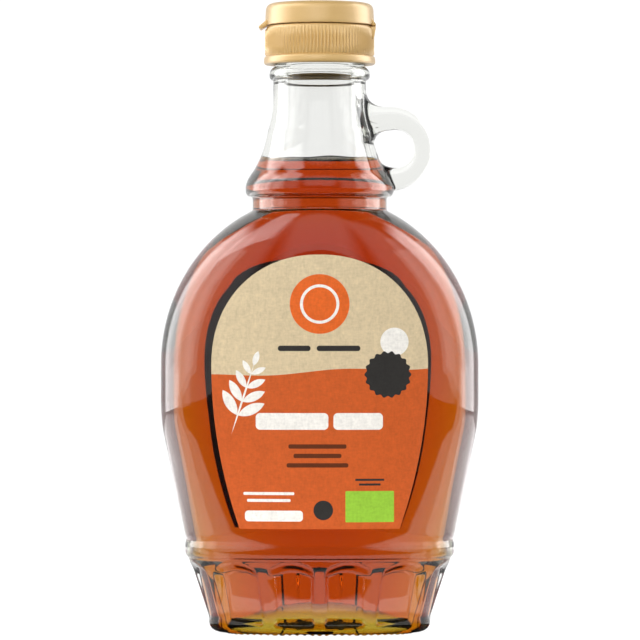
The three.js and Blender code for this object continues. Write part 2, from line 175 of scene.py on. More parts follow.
def neck_wall(outline):
    outline.bend(COLLAR_R, COLLAR_LOW, COLLAR_R, COLLAR_LOW + 0.9, 4)
    outline.line(COLLAR_R, COLLAR_TOP - 0.5, 3)
    outline.bend(COLLAR_R, COLLAR_TOP, COLLAR_R + 0.6, COLLAR_TOP + 0.15, 3)
    outline.bend(RING_R, COLLAR_TOP + 0.2, RING_R, RING_HEIGHT, 6)
    outline.bend(RING_R, RING_PULL, NECK_FOOT_R, NECK_FOOT, 9)
    outline.bend(FOOT_PULL_R, FOOT_PULL, NECK_MIDDLE_R, NECK_MIDDLE, 20)
    outline.bend(NECK_R, TOP_PULL, NECK_R, NECK_TOP, 16)
    outline.line(NECK_R, BEAD_LOW, 8)
    outline.bend(BEAD_R, BEAD_LOW, BEAD_R, (BEAD_LOW + BEAD_TOP) / 2, 5)
    outline.bend(BEAD_R, BEAD_TOP, FINISH_R, BEAD_TOP + 0.6, 5)
    outline.line(FINISH_R, MOUTH_HEIGHT, 4)


def glass_outline():
    """The outside of the glass as seen from the front, from the middle of its underside to its mouth."""
    outline = Outline(0, PUSH_UP)
    outline.bend(STAND_INNER * 0.5, PUSH_UP, STAND_INNER, STUD_HEIGHT, 12)
    outline.line(STAND_OUTER, STUD_HEIGHT, 4)
    outline.bend(HEEL_HALF, STUD_HEIGHT, HEEL_HALF, HEEL_TOP, 6)
    outline.line(FOOT_TOP_HALF, FOOT_TOP, 30)
    outline.bend(RIDGE_HALF, RIDGE_PULL_LOW, RIDGE_HALF, RIDGE_HEIGHT, 6)
    outline.bend(RIDGE_HALF, RIDGE_PULL_HIGH, BODY_FLOOR_HALF, BODY_FLOOR, 4)
    outline.line(BELLY_LOW_HALF, BELLY_LOW, 14)
    outline.bend(BELLY_HALF, BELLY_PULL, BELLY_HALF, BELLY_UPRIGHT, 6)
    outline.line(BELLY_HALF, SHOULDER_CENTRE, 4)
    last_turn = math.asin((COLLAR_LOW - SHOULDER_CENTRE) / SHOULDER_RISE)
    outline.quarter(SHOULDER_CENTRE, BELLY_HALF, SHOULDER_RISE, last_turn, 34)
    neck_wall(outline)
    return outline.points


def side_outline():
    """The outside of the glass as seen from the side, from its standing ring to its collar."""
    heel = HEEL_HALF * FOOT_RATIO
    outline = Outline(heel - HEEL_HALF + STAND_OUTER, STUD_HEIGHT)
    outline.bend(heel, STUD_HEIGHT, heel, HEEL_TOP, 6)
    outline.line(FOOT_TOP_DEPTH, FOOT_TOP, 6)
    outline.bend(RIDGE_DEPTH, RIDGE_PULL_LOW, RIDGE_DEPTH, RIDGE_HEIGHT, 6)
    outline.line(PANEL_LOW_DEPTH, PANEL_LOW, 2)
    outline.line(PANEL_TOP_DEPTH, PANEL_TOP, 10)
    outline.bend(PANEL_PULL_DEPTH, PANEL_PULL, PANEL_END_DEPTH, PANEL_END, 10)
    outline.bend(COLLAR_PULL_DEPTH, COLLAR_PULL, COLLAR_R + 0.4, COLLAR_LOW, 6)
    return outline.points


def inside_outline(bite):
    """The inside of the glass from its floor to its mouth, pushed into the wall by a bite."""
    outline = Outline(0, FLOOR_CENTRE - bite)
    outline.bend(FLOOR_EDGE_HALF * 0.5, FLOOR_CENTRE - bite, FLOOR_EDGE_HALF, FLOOR_EDGE - bite, 10)
    foot = FOOT_INSIDE_HALF + bite
    outline.bend(foot - 0.6, FLOOR_EDGE - bite, foot, FOOT_CORNER_TOP - bite, 12)
    outline.line(FOOT_INSIDE_TOP_HALF + bite, FOOT_TOP, 6)
    outline.line(BELLY_LOW_HALF - WALL + bite, BELLY_LOW, 14)
    half = BELLY_HALF - WALL + bite
    outline.bend(half, BELLY_PULL, half, BELLY_UPRIGHT, 6)
    outline.line(half, SHOULDER_CENTRE, 3)
    collar = COLLAR_R - WALL + bite
    outline.quarter(SHOULDER_CENTRE, half, SHOULDER_RISE - WALL + bite, math.acos(collar / half), 26)
    outline.line(collar, COLLAR_TOP, 4)
    ring = RING_R - WALL + bite
    outline.bend(ring, COLLAR_TOP, ring, RING_HEIGHT, 6)
    outline.bend(ring, RING_PULL, NECK_FOOT_INSIDE_R + bite, NECK_FOOT, 8)
    outline.bend(FOOT_PULL_INSIDE_R + bite, FOOT_PULL_INSIDE, NECK_MIDDLE_R - WALL + bite, NECK_MIDDLE, 18)
    outline.bend(NECK_R - WALL + bite, TOP_PULL, NECK_R - WALL + bite, NECK_TOP, 10)
    outline.line(MOUTH_R + bite, FINISH_LOW, 4)
    outline.line(MOUTH_R + bite, MOUTH_HEIGHT, 2)
    return outline.points


FRONT = glass_outline()
FRONT_WALL = [point for point in FRONT if point[0] >= STAND_OUTER or point[1] >= HEEL_TOP]
SIDE_WALL = side_outline()
INSIDE_CORNER = [point for point in inside_outline(0) if point[0] >= FLOOR_EDGE_HALF]


@functools.cache
def depth_ratio(height):
    """The depth of the outside as a share of its width."""
    if height > COLLAR_LOW:
        return 1
    return reach(SIDE_WALL, height) / reach(FRONT_WALL, height)


@functools.cache
def inside_ratio(height):
    """The depth of the inside as a share of its width."""
    if height > COLLAR_LOW:
        return 1
    outside = max(height, BODY_FLOOR)
    width = reach(FRONT_WALL, outside)
    ratio = (width * depth_ratio(outside) - WALL) / (width - WALL)
    if height < FOOT_CORNER_TOP:
        inset = (1 - ratio) * FOOT_INSIDE_HALF
        return 1 - inset / reach(INSIDE_CORNER, height)
    return ratio


def clamp01(value):
    return max(0.0, min(1.0, value))


def ease(value):
    value = clamp01(value)
    return value * value * (3 - 2 * value)


def squareness(height):
    """The exponent of the oval: a little square in the body, round at the collar."""
    share = clamp01((height - PANEL_TOP) / (COLLAR_LOW - PANEL_TOP))
    return BODY_SQUARENESS + (2 - BODY_SQUARENESS) * share


# The oval section and the flutes of the foot

def oval_point(turn, half_width, half_depth, exponent):
    """A point of the oval; turn 0 is at the front, a quarter turn is at +X."""
    across, back = math.sin(turn), -math.cos(turn)
    power = 2 / exponent
    x = half_width * math.copysign(abs(across) ** power, across)
    y = half_depth * math.copysign(abs(back) ** power, back)
    return Vector((x, y))


def edge_shares(samples=720):
    """How far round the foot's edge each turn is, as a share of its whole length."""
    turns = [2 * math.pi * i / samples for i in range(samples + 1)]
    points = [oval_point(turn, 1, FOOT_RATIO, BODY_SQUARENESS) for turn in turns]
    lengths = [0.0]
    for low, high in zip(points, points[1:]):
        lengths.append(lengths[-1] + (high - low).length)
    return [length / lengths[-1] for length in lengths]


EDGE_SHARES = edge_shares()


def edge_share(turn):
    place = (turn / (2 * math.pi)) % 1.0 * (len(EDGE_SHARES) - 1)
    low = int(place)
    high = min(low + 1, len(EDGE_SHARES) - 1)
    return EDGE_SHARES[low] + (EDGE_SHARES[high] - EDGE_SHARES[low]) * (place - low)


def column_turn(share):
    """The turn of a column of the glass; the columns crowd together at the edges of the flutes."""
    rib, edge, floor = FLUTE_COLUMNS
    flute, along = divmod(share * FLUTES, 1.0)
    stops = [0, rib, rib + edge, rib + edge + floor, rib + 2 * edge + floor, 2 * (rib + edge) + floor]
    places = [0, RIB_SHARE, RIB_SHARE + RIB_EDGE, 1 - RIB_SHARE - RIB_EDGE, 1 - RIB_SHARE, 1]
    wanted = (flute + reach(list(zip(places, stops)), along * stops[-1])) / FLUTES
    after = max(1, bisect.bisect_left(EDGE_SHARES, wanted))
    low, high = EDGE_SHARES[after - 1], EDGE_SHARES[after]
    return 2 * math.pi * (after - 1 + (wanted - low) / (high - low)) / (len(EDGE_SHARES) - 1)


def flute_cut(turn, height):
    """How deep the flutes cut into the foot: deeper towards the top, where each ends in an arch."""
    place = edge_share(turn) * FLUTES % 1.0
    from_middle = abs(place - 0.5)
    across = from_middle / (0.5 - RIB_SHARE)
    arch = FLUTE_CROWN - FLUTE_ARCH_DROP * min(1.0, across ** 2)
    in_width = ease((0.5 - RIB_SHARE - from_middle) / RIB_EDGE)
    in_height = ease((arch - height) / FLUTE_CROWN_EASE) * ease((height - FLUTE_START) / FLUTE_START_EASE)
    rise = clamp01((height - FLUTE_FLOOR) / (FLUTE_CROWN - FLUTE_FLOOR))
    depth = FLUTE_LOW_DEPTH + (FLUTE_TOP_DEPTH - FLUTE_LOW_DEPTH) * rise
    return depth * in_width * in_height


def stud_drop(turn, radius, height):
    """The row of small studs that the bottle stands on, under its foot."""
    if height > STUD_HEIGHT + 0.01 or radius < STAND_INNER:
        return 0
    across = ease(1 - abs(2 * (radius - STAND_INNER) / (STAND_OUTER - STAND_INNER) - 1))
    return STUD_HEIGHT * across * ease(0.7 + math.cos(2 * math.pi * STUDS * edge_share(turn)))


def make_oval(verts, ratio_at):
    """Gives round sections their oval shape."""
    for vert in verts:
        radius = math.hypot(vert.co.x, vert.co.y)
        if radius > ON_AXIS:
            turn = math.atan2(vert.co.x, -vert.co.y)
            vert.co.xy = oval_point(turn, radius, radius * ratio_at(vert.co.z), squareness(vert.co.z))


def make_outside(verts):
    """Gives the outside of the glass its oval sections, its flutes and its studs."""
    columns = {}
    for vert in verts:
        radius, height = math.hypot(vert.co.x, vert.co.y), vert.co.z
        if radius < ON_AXIS:
            continue
        share = round(math.atan2(vert.co.x, -vert.co.y) / (2 * math.pi) % 1.0, 6)
        if share not in columns:
            columns[share] = column_turn(share)
        turn = columns[share]
        under_foot = radius <= STAND_OUTER and height < HEEL_TOP
        ratio = depth_ratio(STUD_HEIGHT if under_foot else height)
        point = oval_point(turn, radius, radius * ratio, squareness(height))
        if FLUTE_START < height < FLUTE_CROWN:
            point *= 1 - flute_cut(turn, height) / point.length
        vert.co = (*point, height - stud_drop(turn, radius, height))


# Making meshes

def turned(bm, points, steps):
    """Turns an outline about the Z axis and returns the new vertices."""
    rows = len(points) - 1
    verts = bmesh.ops.create_grid(bm, x_segments=steps, y_segments=rows, size=1)["verts"]
    for vert in verts:
        turn = math.pi * (vert.co.x + 1)
        radius, height = points[round(rows * (vert.co.y + 1) / 2)]
        vert.co = (radius * math.sin(turn), -radius * math.cos(turn), height)
    bmesh.ops.remove_doubles(bm, verts=verts, dist=ON_AXIS)
    return [vert for vert in verts if vert.is_valid]


def make_piece(bm, name, material, node, sharp=None):
    """Turns a bmesh in millimetres into a piece that stands for a CAD node."""
    bmesh.ops.recalc_face_normals(bm, faces=bm.faces)
    if bm.calc_volume(signed=True) < 0:
        bmesh.ops.reverse_faces(bm, faces=bm.faces)
    bmesh.ops.scale(bm, vec=(MM, MM, MM), verts=bm.verts)
    mesh = bpy.data.meshes.new(name)
    bm.to_mesh(mesh)
    bm.free()
    mesh.shade_smooth()
    if sharp is not None:
        mesh.set_sharp_from_angle(angle=math.radians(sharp))
    mesh.materials.append(material)
    piece = bpy.data.objects.new(name, mesh)
    bpy.context.scene.collection.objects.link(piece)
    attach(piece, "root")
    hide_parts(node)
    return piece


# The glass

def cut_window(bm, low, high, half_y):
    """Opens the neck on its +X side and returns the edges of the opening."""
    faces = []
    for face in bm.faces:
        middle = face.calc_center_median()
        if middle.x > 0 and abs(middle.y) < half_y and low < middle.z < high:
            faces.append(face)
    bmesh.ops.delete(bm, geom=faces, context="FACES")
    return [edge for edge in bm.edges
            if edge.is_boundary and all(low - 1 < v.co.z < high + 1 and v.co.x > 0 for v in edge.verts)]


def in_order(edges):
    """The vertices of a closed loop of edges from its top on, anticlockwise seen from +X."""
    waiting = set(edges)
    edge = max(edges, key=lambda e: tuple(e.verts[0].co + e.verts[1].co)[::-1])
    waiting.remove(edge)
    loop = list(edge.verts)
    while waiting:
        edge = next(e for e in loop[-1].link_edges if e in waiting)
        waiting.remove(edge)
        loop.append(edge.other_vert(loop[-1]))
    area = sum(a.co.y * b.co.z - b.co.y * a.co.z for a, b in zip(loop, loop[1:]))
    return loop[:-1] if area > 0 else loop[:0:-1]


def loop_directions(loop):
    """The direction of each vertex from the middle of its loop, as an angle in the YZ plane."""
    low = Vector([min(v.co[i] for v in loop) for i in range(3)])
    high = Vector([max(v.co[i] for v in loop) for i in range(3)])
    middle, half = (low + high) / 2, (high - low) / 2
    return [math.atan2((v.co.z - middle.z) / half.z, (v.co.y - middle.y) / half.y) for v in loop]


def handle_point(along, direction):
    """A point of the handle's rounded section at an angle round the hole."""
    outward = Vector((math.cos(along), math.sin(along)))
    offset = LOOP_HOLE - LOOP_OUTER
    lean = outward.dot(offset)
    outer = -lean + math.sqrt(lean ** 2 - offset.length_squared + LOOP_OUTER_R ** 2)
    section = oval_point(math.pi - direction, (outer - LOOP_HOLE_R) / 2, LOOP_HALF_DEPTH, LOOP_SQUARENESS)
    place = LOOP_HOLE + outward * ((outer + LOOP_HOLE_R) / 2 + section.x)
    return Vector((place.x, section.y, place.y))


def ring_edges(bm, loop):
    return [bm.edges.get((a, b)) for a, b in zip(loop, loop[1:] + loop[:1])]


def push_on(bm, loop):
    """Extrudes a loop of vertices and returns the new loop in the same order."""
    made = bmesh.ops.extrude_edge_only(bm, edges=ring_edges(bm, loop))["geom"]
    new = {item for item in made if isinstance(item, bmesh.types.BMVert)}
    return [next(e.other_vert(v) for e in v.link_edges if e.other_vert(v) in new) for v in loop]


def root_curve(start, end, t):
    """A point on the hollow curve from the neck's skin to the handle's section."""
    pull = Vector((start.x + ROOT_HOLLOW * (end.x - start.x), end.y, end.z))
    return start * (1 - t) ** 2 + pull * 2 * t * (1 - t) + end * t * t


def landings(directions, lower):
    """The vertex of the lower loop that each vertex of the upper loop runs to; none is left out."""
    lower = lower[::-1]
    lower_directions = loop_directions(lower)

    def gap(place, direction):
        away = lower_directions[place % len(lower)] + direction
        return abs((away + math.pi) % (2 * math.pi) - math.pi)

    first = min(range(len(lower)), key=lambda i: gap(i, directions[0]))
    place, found = first, [lower[first]]
    for done, direction in enumerate(directions[1:], start=1):
        left = len(lower) - 1 - (place - first)
        if left and (left >= len(directions) - done or gap(place + 1, direction) < gap(place, direction)):
            place += 1
        found.append(lower[place % len(lower)])
    return found


def add_handle(bm):
    """Draws the loop handle out of one opening in the neck and welds it into the other."""
    upper = in_order(cut_window(bm, *UPPER_ROOT))
    lower = in_order(cut_window(bm, *LOWER_ROOT))
    directions = loop_directions(upper)
    starts = [vert.co.copy() for vert in upper]
    ends = landings(directions, lower)
    loop = upper
    for i in range(1, ROOT_STEPS + 1):
        loop = push_on(bm, loop)
        for vert, start, direction in zip(loop, starts, directions):
            vert.co = root_curve(start, handle_point(LOOP_START, direction), i / ROOT_STEPS)
    for i in range(1, LOOP_STEPS + 1):
        loop = push_on(bm, loop)
        for vert, direction in zip(loop, directions):
            vert.co = handle_point(LOOP_START + (LOOP_END - LOOP_START) * i / LOOP_STEPS, direction)
    for i in range(1, ROOT_STEPS + 1):
        loop = push_on(bm, loop)
        for vert, end, direction in zip(loop, ends, directions):
            vert.co = root_curve(end.co, handle_point(LOOP_END, direction), 1 - i / ROOT_STEPS)
    bmesh.ops.weld_verts(bm, targetmap=dict(zip(loop, ends)))


def glass_mesh():
    """The outside with its handle and the inside, joined at the mouth."""
    rib, edge, floor = FLUTE_COLUMNS
    bm = bmesh.new()
    make_outside(turned(bm, FRONT, FLUTES * (2 * (rib + edge) + floor)))
    add_handle(bm)
    make_oval(turned(bm, inside_outline(0), INSIDE_COLUMNS), inside_ratio)
    rim = [edge for edge in bm.edges if edge.is_boundary]
    bmesh.ops.bridge_loops(bm, edges=rim)
    return bm


# The syrup

def syrup_mesh():
    """The filling: it bites into the glass all round, and its edge climbs the wall a little."""
    contact = SYRUP_LEVEL + MENISCUS
    wall = inside_outline(SYRUP_BITE)
    below = [point for point in wall if point[1] < contact]
    outline = Outline(*below[0])
    outline.points = below
    edge_r = reach(wall, contact)
    outline.line(edge_r, contact)
    pull_r = edge_r - MENISCUS_PULL
    outline.bend(pull_r, SYRUP_LEVEL + MENISCUS_PULL_RISE, edge_r - MENISCUS_WIDTH, SYRUP_LEVEL, 8)
    outline.line(0, SYRUP_LEVEL, 6)
    bm = bmesh.new()
    verts = turned(bm, outline.points, INSIDE_COLUMNS)
    make_oval(verts, inside_ratio)
    for vert in verts:
        lift = clamp01((vert.co.z - SYRUP_LEVEL) / MENISCUS)
        turn = math.atan2(vert.co.x, -vert.co.y)
        wave = sum(size * math.sin(waves * turn + start) for size, waves, start in MENISCUS_WAVES)
        vert.co.z += lift * wave
    return bm


# The labels

def label_half(label, height):
    """Half the width of a label at a height: an arch over sides that draw in towards the foot."""
    if height < LABEL_WIDEST:
        below = (LABEL_WIDEST - height) / (LABEL_WIDEST - LABEL_LOW)
        return label["half"] - (label["half"] - label["low_half"]) * below ** 2
    rise = (height - LABEL_WIDEST) / label["rise"]
    return label["half"] * (1 - rise ** LABEL_ARCH_SQUARENESS) ** (1 / LABEL_ARCH_SQUARENESS)


def panel_depth(x, height):
    """How far the glass stands out from the middle of the bottle."""
    exponent = squareness(height)
    across = abs(x) / reach(FRONT_WALL, height)
    return reach(SIDE_WALL, height) * (1 - across ** exponent) ** (1 / exponent)


def label_mesh(label, facing):
    """A sheet of paper bent onto the panel; facing is -1 for the front and 1 for the back."""
    bm = bmesh.new()
    bmesh.ops.create_grid(bm, x_segments=LABEL_COLUMNS, y_segments=LABEL_ROWS, size=1)
    for vert in bm.verts:
        up = (vert.co.y + 1) / 2
        height = LABEL_LOW + (LABEL_WIDEST - LABEL_LOW) * min(1, 2 * up)
        height += label["rise"] * math.sin(LABEL_LAST_TURN * max(0, 2 * up - 1))
        x = vert.co.x * label_half(label, height) + label["shift"]
        vert.co = (x, facing * (panel_depth(x, height) + LABEL_GAP), height)
    sheet = bm.faces[:]
    paper = bmesh.ops.extrude_face_region(bm, geom=sheet)["geom"]
    outer = [item for item in paper if isinstance(item, bmesh.types.BMVert)]
    bmesh.ops.translate(bm, verts=outer, vec=(0, facing * LABEL_PAPER, 0))
    return bm


# The cap

def add_block(bm, corners, half_y):
    """A small block with rounded edges: four corners in (x, z), and half its width."""
    verts = bmesh.ops.create_cube(bm, size=2)["verts"]
    places = {(-1, -1): corners[0], (1, -1): corners[1], (1, 1): corners[2], (-1, 1): corners[3]}
    for vert in verts:
        x, z = places[(round(vert.co.x), round(vert.co.z))]
        vert.co = (x, vert.co.y * half_y, z)
    edges = list(dict.fromkeys(edge for vert in verts for edge in vert.link_edges))
    bmesh.ops.bevel(bm, geom=edges, offset=BLOCK_ROUND, segments=2, profile=0.5, affect="EDGES", material=-1)


def cap_ring_mesh():
    """The lower half of the cap: a band, a gripped wall, a deck and one side of the hinge."""
    outline = Outline(0, CAP_DECK)
    outline.line(CAP_BORE_R, CAP_DECK)
    outline.line(CAP_BORE_R, CAP_FLOOR + 0.2)
    outline.line(CAP_BORE_R + 0.2, CAP_FLOOR)
    outline.line(CAP_BAND_R - 0.7, CAP_FLOOR)
    outline.bend(CAP_BAND_R, CAP_FLOOR, CAP_BAND_R, CAP_FLOOR + 0.8, 4)
    outline.line(CAP_BAND_R - 0.05, CAP_BAND_TOP - 0.6)
    outline.bend(CAP_BAND_R - 0.1, CAP_BAND_TOP, CAP_CORE_R, CAP_BAND_TOP + 0.15, 4)
    outline.line(CAP_CORE_R, CAP_BAND_TOP + 0.5)
    outline.line(CAP_CORE_R, CAP_GRIP_TOP - 0.5, 3)
    outline.line(CAP_CORE_R, CAP_GRIP_TOP)
    outline.line(CAP_CORE_R - 0.1, CAP_DECK_TOP - 0.2)
    outline.line(CAP_CORE_R - 0.3, CAP_DECK_TOP)
    outline.line(0, CAP_DECK_TOP)
    bm = bmesh.new()
    for vert in turned(bm, outline.points, 4 * CAP_GRIPS):
        radius = math.hypot(vert.co.x, vert.co.y)
        if abs(radius - CAP_CORE_R) > 0.02:
            continue
        along = CAP_GRIPS * math.atan2(vert.co.y, vert.co.x) / (2 * math.pi) % 1.0
        above_band = (vert.co.z - CAP_BAND_TOP - 0.1) / CAP_GRIP_EASE
        in_height = ease(above_band) * ease((CAP_GRIP_TOP - vert.co.z) / CAP_GRIP_EASE)
        proud = (CAP_GRIP_R - CAP_CORE_R) * in_height * ease(1 - abs(2 * along - 1))
        vert.co.x *= 1 + proud / radius
        vert.co.y *= 1 + proud / radius
    add_block(bm, *RING_LUG)
    return bm


def cap_lid_mesh():
    """The lid with its thumb lip and the other side of the hinge."""
    outline = Outline(0, LID_FLOOR)
    outline.line(LID_R - 0.25, LID_FLOOR)
    outline.bend(LID_R, LID_FLOOR, LID_R, LID_FLOOR + 0.25, 3)
    shoulder = LID_TOP - LID_CROWN - LID_CORNER
    outline.line(LID_R - LID_TAPER, shoulder, 4)
    inner_r, inner_z = LID_R - LID_TAPER - LID_CORNER, LID_TOP - LID_CROWN + 0.1
    outline.bend(LID_R - 0.25, LID_TOP - LID_CROWN, inner_r, inner_z, 9)
    outline.bend(LID_R * 0.5, LID_TOP, 0, LID_TOP, 10)
    bm = bmesh.new()
    turned(bm, outline.points, LID_COLUMNS)
    add_block(bm, *THUMB_LIP)
    add_block(bm, *LID_LUG)
    return bm


# Shader nodes

PRINT_SOFTNESS = 0.07
FIBRE_SCALE, FIBRE_STRETCH, BLOTCH_SCALE = 1900.0, 0.4, 420.0
FIBRE_SHARE, BLOTCH_SHARE = 0.35, 0.3


def put(tree, socket, value):
    """Links a socket, or sets its value."""
    if isinstance(value, bpy.types.NodeSocket):
        tree.links.new(value, socket)
    else:
        socket.default_value = value


def fill(tree, node, values):
    """Links or sets the inputs of a node by their names."""
    for name, value in values.items():
        put(tree, node.inputs[name], value)


def calc(tree, operation, *values):
    node = tree.nodes.new("ShaderNodeMath")
    node.operation = operation
    for socket, value in zip(node.inputs, values):
        put(tree, socket, value)
    return node.outputs[0]


def soft_step(tree, value, start, end):
    """Goes softly from 0 to 1 while a value goes from start to end."""
    node = tree.nodes.new("ShaderNodeMapRange")
    node.interpolation_type = "SMOOTHSTEP"
    fill(tree, node, {"Value": value, "From Min": start, "From Max": end})
    return node.outputs["Result"]


def inside_edge(tree, distance, softness=PRINT_SOFTNESS):
    """1 where a distance is below zero, with a soft edge."""
    return soft_step(tree, distance, softness, -softness)


def hypotenuse(tree, *sides):
    """How far apart two places are, from their distances along both axes."""
    squares = [calc(tree, "MULTIPLY", side, side) for side in sides]
    return calc(tree, "SQRT", calc(tree, "ADD", *squares))


def new_group(name, inputs, outputs):
    tree = bpy.data.node_groups.new(name, "ShaderNodeTree")
    for socket_name, kind in inputs:
        tree.interface.new_socket(socket_name, in_out="INPUT", socket_type=kind)
    for socket_name, kind in outputs:
        tree.interface.new_socket(socket_name, in_out="OUTPUT", socket_type=kind)
    start = tree.nodes.new("NodeGroupInput").outputs
    end = tree.nodes.new("NodeGroupOutput").inputs
    return tree, start, end


def use_group(tree, group, **values):
    node = tree.nodes.new("ShaderNodeGroup")
    node.node_tree = group
    fill(tree, node, {name.replace("_", " ").title(): value for name, value in values.items()})
    return node.outputs


def float_sockets(*names):
    return [(name, "NodeSocketFloat") for name in names]


def disc_group():
    """A printed disc, plain or with lobes round its edge."""
    names = float_sockets("X", "Z", "Centre X", "Centre Z", "Radius", "Lobes", "Lobe Depth")
    tree, start, end = new_group("printed_disc", names, float_sockets("Mask"))
    across = calc(tree, "SUBTRACT", start["X"], start["Centre X"])
    up = calc(tree, "SUBTRACT", start["Z"], start["Centre Z"])
    angle = calc(tree, "ARCTAN2", up, across)
    wave = calc(tree, "COSINE", calc(tree, "MULTIPLY", angle, start["Lobes"]))
    radius = calc(tree, "ADD", start["Radius"], calc(tree, "MULTIPLY", wave, start["Lobe Depth"]))
    distance = calc(tree, "SUBTRACT", hypotenuse(tree, across, up), radius)
    put(tree, end["Mask"], inside_edge(tree, distance))
    return tree


def bar_group():
    """A printed bar with round corners."""
    names = float_sockets("X", "Z", "Centre X", "Centre Z", "Half Width", "Half Height", "Corner")
    tree, start, end = new_group("printed_bar", names, float_sockets("Mask"))
    sides = []
    for place, centre, half in (("X", "Centre X", "Half Width"), ("Z", "Centre Z", "Half Height")):
        away = calc(tree, "ABSOLUTE", calc(tree, "SUBTRACT", start[place], start[centre]))
        past = calc(tree, "ADD", calc(tree, "SUBTRACT", away, start[half]), start["Corner"])
        sides.append(calc(tree, "MAXIMUM", past, 0.0))
    distance = calc(tree, "SUBTRACT", hypotenuse(tree, *sides), start["Corner"])
    put(tree, end["Mask"], inside_edge(tree, distance))
    return tree


def leaf_group():
    """A printed pointed oval, turned by an angle."""
    names = float_sockets("X", "Z", "Centre X", "Centre Z", "Turn", "Half Length", "Half Width")
    tree, start, end = new_group("printed_leaf", names, float_sockets("Mask"))
    across = calc(tree, "SUBTRACT", start["X"], start["Centre X"])
    up = calc(tree, "SUBTRACT", start["Z"], start["Centre Z"])
    cosine, sine = calc(tree, "COSINE", start["Turn"]), calc(tree, "SINE", start["Turn"])
    along = calc(tree, "ADD", calc(tree, "MULTIPLY", across, cosine), calc(tree, "MULTIPLY", up, sine))
    aside = calc(tree, "SUBTRACT", calc(tree, "MULTIPLY", up, cosine), calc(tree, "MULTIPLY", across, sine))
    length_square = calc(tree, "MULTIPLY", start["Half Length"], start["Half Length"])
    width_square = calc(tree, "MULTIPLY", start["Half Width"], start["Half Width"])
    radius = calc(tree, "DIVIDE", calc(tree, "ADD", length_square, width_square),
                  calc(tree, "MULTIPLY", start["Half Width"], 2.0))
    from_middle = calc(tree, "SUBTRACT", radius, start["Half Width"])
    offset = calc(tree, "ADD", calc(tree, "ABSOLUTE", aside), from_middle)
    distance = calc(tree, "SUBTRACT", hypotenuse(tree, along, offset), radius)
    put(tree, end["Mask"], inside_edge(tree, distance))
    return tree


def noise(tree, vector, scale, detail=2.0, stretch=None):
    if stretch:
        mapping = tree.nodes.new("ShaderNodeMapping")
        fill(tree, mapping, {"Vector": vector, "Scale": stretch})
        vector = mapping.outputs["Vector"]
    node = tree.nodes.new("ShaderNodeTexNoise")
    fill(tree, node, {"Vector": vector, "Scale": scale, "Detail": detail})
    return node.outputs["Fac"]


def paper_group():
    """Paper grain: fine crossed fibres and soft blotches, around 0.5."""
    tree, start, end = new_group("paper_grain", [("Vector", "NodeSocketVector")], float_sockets("Grain"))
    lying = noise(tree, start["Vector"], FIBRE_SCALE, stretch=(FIBRE_STRETCH, 1.0, 1.0))
    standing = noise(tree, start["Vector"], FIBRE_SCALE, stretch=(1.0, 1.0, FIBRE_STRETCH))
    blotch = noise(tree, start["Vector"], BLOTCH_SCALE)
    fibres = calc(tree, "MULTIPLY", calc(tree, "ADD", lying, standing), FIBRE_SHARE)
    put(tree, end["Grain"], calc(tree, "ADD", fibres, calc(tree, "MULTIPLY", blotch, BLOTCH_SHARE)))
    return tree


DISC, BAR, LEAF, PAPER = disc_group(), bar_group(), leaf_group(), paper_group()


def new_material(name):
    material = bpy.data.materials.new(name)
    material.use_nodes = True
    tree = material.node_tree
    shader = tree.nodes["Principled BSDF"]
    return material, tree, shader


def object_place(tree):
    return tree.nodes.new("ShaderNodeTexCoord").outputs["Object"]


def bump(tree, shader, height, strength, distance):
    node = tree.nodes.new("ShaderNodeBump")
    fill(tree, node, {"Height": height, "Strength": strength, "Distance": distance})
    put(tree, shader.inputs["Normal"], node.outputs["Normal"])


def mix_colour(tree, below, above, mask):
    node = tree.nodes.new("ShaderNodeMix")
    node.data_type = "RGBA"
    # A mix node has inputs A and B for each kind of data; numbers 6 and 7, and output 2, are for colours.
    put(tree, node.inputs["Factor"], mask)
    put(tree, node.inputs[6], below)
    put(tree, node.inputs[7], above)
    return node.outputs[2]


def linear(red, green, blue):
    """A colour given in 0-255 display values."""
    def channel(value):
        value /= 255
        return value / 12.92 if value <= 0.04045 else ((value + 0.055) / 1.055) ** 2.4
    return (channel(red), channel(green), channel(blue), 1.0)


# Materials

GLASS_IOR, GLASS_TINT, GLASS_DENSITY = 1.52, (0.83, 0.84, 0.79, 1), 100.0
GLASS_RIPPLE, GLASS_RIPPLE_SCALE, GLASS_RIPPLE_DEPTH = 0.02, 45.0, 0.002
SYRUP_IOR, SYRUP_TINT, SYRUP_DENSITY = 1.46, (0.958, 0.815, 0.0, 1), 500.0
SYRUP_SPECULAR = 0.1
GOLD_DARK, GOLD_LIGHT = linear(203, 165, 101), linear(223, 187, 125)
GOLD_PEARL_SCALE, GOLD_PEARL_SHARE, GOLD_PEARL_BUMP, GOLD_PEARL_DEPTH = 2600.0, 0.35, 0.05, 0.0002
GOLD_FLOW_SCALE, GOLD_FLOW_STRETCH = 90.0, (1.0, 1.0, 3.0)
GOLD_METALLIC, GOLD_SPECULAR, GOLD_ROUGHNESS, GOLD_PEARL_ROUGHNESS = 0.1, 0.75, 0.26, 0.16
PAPER_SPECULAR, FRONT_ROUGHNESS, BACK_ROUGHNESS = 0.2, 0.55, 0.6
GRAIN_CONTRAST, GRAIN_ROUGHNESS, GRAIN_BUMP, GRAIN_DEPTH = 0.8, 0.3, 0.25, 0.0001


def absorb(tree, colour, density):
    node = tree.nodes.new("ShaderNodeVolumeAbsorption")
    fill(tree, node, {"Color": colour, "Density": density})
    tree.links.new(node.outputs["Volume"], tree.nodes["Material Output"].inputs["Volume"])


def clear_material(name, ior, colour, density):
    material, tree, shader = new_material(name)
    fill(tree, shader, {"Base Color": (1, 1, 1, 1), "Roughness": 0.0, "IOR": ior, "Transmission Weight": 1.0})
    absorb(tree, colour, density)
    return material, tree, shader


